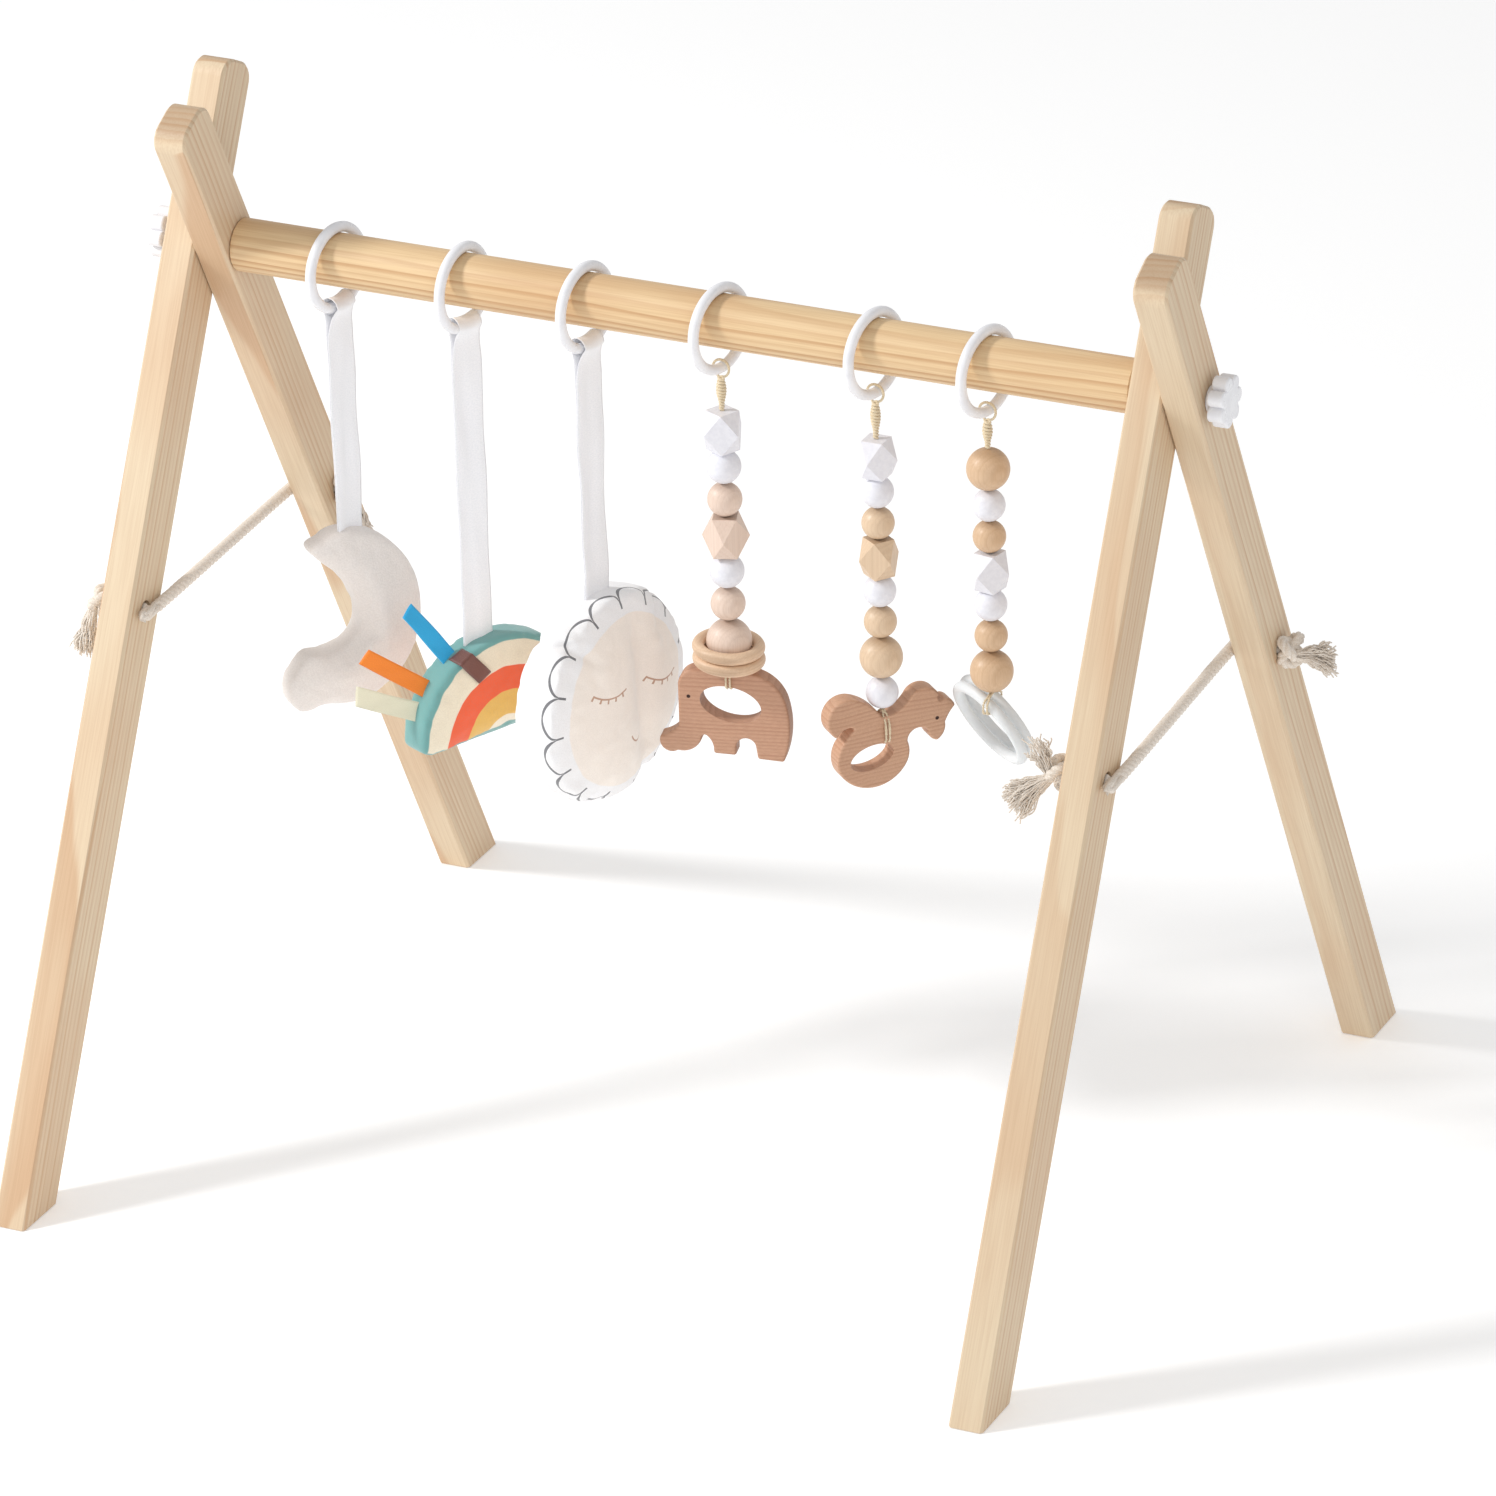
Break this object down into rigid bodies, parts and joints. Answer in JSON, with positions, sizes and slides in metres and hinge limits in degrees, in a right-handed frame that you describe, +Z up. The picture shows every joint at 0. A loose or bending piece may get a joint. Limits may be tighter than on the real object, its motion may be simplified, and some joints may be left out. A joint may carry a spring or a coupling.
{
  "type": "activity play gym",
  "caption": "Wooden A-frame baby play gym: folding crossed legs, a round bar, and hanging ring toys with plush shapes, bead strings and teethers.",
  "frame": {"origin": "on the floor under the middle of the bar", "axes": "+X along the bar to the right, +Y to the back, +Z up; the front with the plain faces of the toys looks along -Y"},
  "size_m": [0.648, 0.5364, 0.5828],
  "materials": {
    "beech": "bare oiled beech",
    "brass": "plain",
    "clear_silicone": "frosted translucent silicone",
    "cotton_cord": "waxed cotton cord",
    "cotton_rope": "twisted three-strand cotton",
    "cream_plush": "short pile minky over filling",
    "face_cotton": "printed cotton over filling",
    "maple_ring": "bare turned maple",
    "natural_bead": "bare turned wood",
    "pine": "bare sanded pine, straight grain along the leg",
    "pine_bar": "bare sanded pine dowel",
    "rainbow_plush": "printed velour face with a teal gusset",
    "steel": "zinc plated",
    "tab_blue": "satin ribbon",
    "tab_brown_loop": "satin ribbon folded in a loop",
    "tab_orange": "satin ribbon",
    "tab_pale": "cotton tape",
    "white_bead": "white painted wood, satin",
    "white_plastic": "smooth moulded, semi gloss",
    "white_ribbon": "satin ribbon"
  },
  "bodies": {
    "front_frame": {"bar": "pine_bar", "bar_inserts": "brass", "leg_front_left": "pine", "leg_front_right": "pine", "rope_left": "cotton_rope", "rope_right": "cotton_rope", "knot_front_left": "cotton_rope", "knot_front_right": "cotton_rope"},
    "back_left_leg": {"leg_back_left": "pine", "knot_back_left": "cotton_rope"},
    "back_right_leg": {"leg_back_right": "pine", "knot_back_right": "cotton_rope"},
    "left_knob": {"knob_left": "white_plastic", "knob_stud_left": "steel"},
    "right_knob": {"knob_right": "white_plastic", "knob_stud_right": "steel"},
    "moon_ring": {"ring_moon": "white_plastic"},
    "rainbow_ring": {"ring_rainbow": "white_plastic"},
    "face_ring": {"ring_face": "white_plastic"},
    "elephant_ring": {"ring_elephant": "white_plastic"},
    "horse_ring": {"ring_horse": "white_plastic"},
    "rings_ring": {"ring_beads": "white_plastic"},
    "moon_toy": {"ribbon_moon": "white_ribbon", "moon_plush": "cream_plush"},
    "rainbow_toy": {"ribbon_rainbow": "white_ribbon", "rainbow_plush": "rainbow_plush", "tab_blue": "tab_blue", "tab_orange": "tab_orange", "tab_pale": "tab_pale", "tab_brown_loop": "tab_brown_loop"},
    "face_toy": {"ribbon_face": "white_ribbon", "face_plush": "face_cotton"},
    "elephant_string": {"cord_elephant": "cotton_cord", "elephant_beads_facet_natural": "natural_bead", "elephant_beads_facet_white": "white_bead", "elephant_beads_large_natural": "natural_bead", "elephant_beads_round_natural": "natural_bead", "elephant_beads_round_white": "white_bead"},
    "wooden_rings": {"wooden_ring_upper": "maple_ring", "wooden_ring_lower": "maple_ring"},
    "elephant": {"elephant_teether": "beech", "loop_elephant": "cotton_cord"},
    "horse_string": {"cord_horse": "cotton_cord", "horse_beads_facet_natural": "natural_bead", "horse_beads_facet_white": "white_bead", "horse_beads_large_natural": "natural_bead", "horse_beads_round_natural": "natural_bead", "horse_beads_round_white": "white_bead"},
    "horse": {"horse_teether": "beech", "loop_horse": "cotton_cord"},
    "rings_string": {"cord_rings": "cotton_cord", "loop_rings": "cotton_cord", "rings_beads_facet_white": "white_bead", "rings_beads_large_natural": "natural_bead", "rings_beads_round_natural": "natural_bead", "rings_beads_round_white": "white_bead"},
    "soft_ring_a": {"soft_ring_front": "clear_silicone"},
    "soft_ring_b": {"soft_ring_back": "clear_silicone"}
  },
  "joints": [
    {"name": "fold_back_left_leg", "type": "hinge", "parent": "front_frame", "child": "back_left_leg", "pos_m": [-0.28, 0, 0.49], "axis": [1, 0, 0], "range_deg": [-54, 0], "deforming": ["rope_left"]},
    {"name": "fold_back_right_leg", "type": "hinge", "parent": "front_frame", "child": "back_right_leg", "pos_m": [0.3004, 0, 0.49], "axis": [1, 0, 0], "range_deg": [-54, 0], "deforming": ["rope_right"]},
    {"name": "turn_left_knob", "type": "hinge", "parent": "front_frame", "child": "left_knob", "pos_m": [-0.3167, 0, 0.49], "axis": [-1, 0, 0], "continuous": true},
    {"name": "turn_right_knob", "type": "hinge", "parent": "front_frame", "child": "right_knob", "pos_m": [0.3167, 0, 0.49], "axis": [1, 0, 0], "continuous": true},
    {"name": "slide_moon_ring", "type": "slide", "parent": "front_frame", "child": "moon_ring", "axis": [1, 0, 0], "range_m": [-0.003, 0.005]},
    {"name": "swing_moon", "type": "hinge", "parent": "moon_ring", "child": "moon_toy", "pos_m": [-0.211, 0, 0.4851], "axis": [1, 0, 0], "range_deg": [-25, 25]},
    {"name": "slide_rainbow_ring", "type": "slide", "parent": "front_frame", "child": "rainbow_ring", "axis": [1, 0, 0], "range_m": [-0.005, 0.006]},
    {"name": "swing_rainbow", "type": "hinge", "parent": "rainbow_ring", "child": "rainbow_toy", "pos_m": [-0.133, 0, 0.4851], "axis": [1, 0, 0], "range_deg": [-25, 25]},
    {"name": "slide_face_ring", "type": "slide", "parent": "front_frame", "child": "face_ring", "axis": [1, 0, 0], "range_m": [-0.006, 0.01]},
    {"name": "swing_face", "type": "hinge", "parent": "face_ring", "child": "face_toy", "pos_m": [-0.058, 0, 0.4851], "axis": [1, 0, 0], "range_deg": [-25, 25]},
    {"name": "slide_elephant_ring", "type": "slide", "parent": "front_frame", "child": "elephant_ring", "axis": [1, 0, 0], "range_m": [-0.01, 0.012]},
    {"name": "swing_elephant", "type": "hinge", "parent": "elephant_ring", "child": "elephant_string", "pos_m": [0.023, 0, 0.4851], "axis": [1, 0, 0], "range_deg": [-30, 30]},
    {"name": "slide_horse_ring", "type": "slide", "parent": "front_frame", "child": "horse_ring", "axis": [1, 0, 0], "range_m": [-0.012, 0.0025]},
    {"name": "swing_horse", "type": "hinge", "parent": "horse_ring", "child": "horse_string", "pos_m": [0.115, 0, 0.4851], "axis": [1, 0, 0], "range_deg": [-30, 30]},
    {"name": "slide_rings_ring", "type": "slide", "parent": "front_frame", "child": "rings_ring", "axis": [1, 0, 0], "range_m": [-0.0025, 0.04]},
    {"name": "swing_rings", "type": "hinge", "parent": "rings_ring", "child": "rings_string", "pos_m": [0.181, 0, 0.4851], "axis": [1, 0, 0], "range_deg": [-30, 30]},
    {"name": "lift_wooden_rings", "type": "slide", "parent": "elephant_string", "child": "wooden_rings", "axis": [0, 0, 1], "range_m": [0, 0.04]},
    {"name": "twist_elephant", "type": "hinge", "parent": "elephant_string", "child": "elephant", "pos_m": [0.023, 0, 0.28], "axis": [0, 0, 1], "continuous": true},
    {"name": "twist_horse", "type": "hinge", "parent": "horse_string", "child": "horse", "pos_m": [0.115, 0, 0.26], "axis": [0, 0, 1], "range_deg": [-4, 90]},
    {"name": "turn_front_soft_ring", "type": "hinge", "parent": "rings_string", "child": "soft_ring_a", "pos_m": [0.17447, 0.01103, 0.27164], "axis": [0.4737, 0.7533, 0.4562], "continuous": true},
    {"name": "turn_back_soft_ring", "type": "hinge", "parent": "rings_string", "child": "soft_ring_b", "pos_m": [0.17447, 0.02023, 0.27164], "axis": [0.4737, 0.7533, 0.4562], "continuous": true}
  ]
}
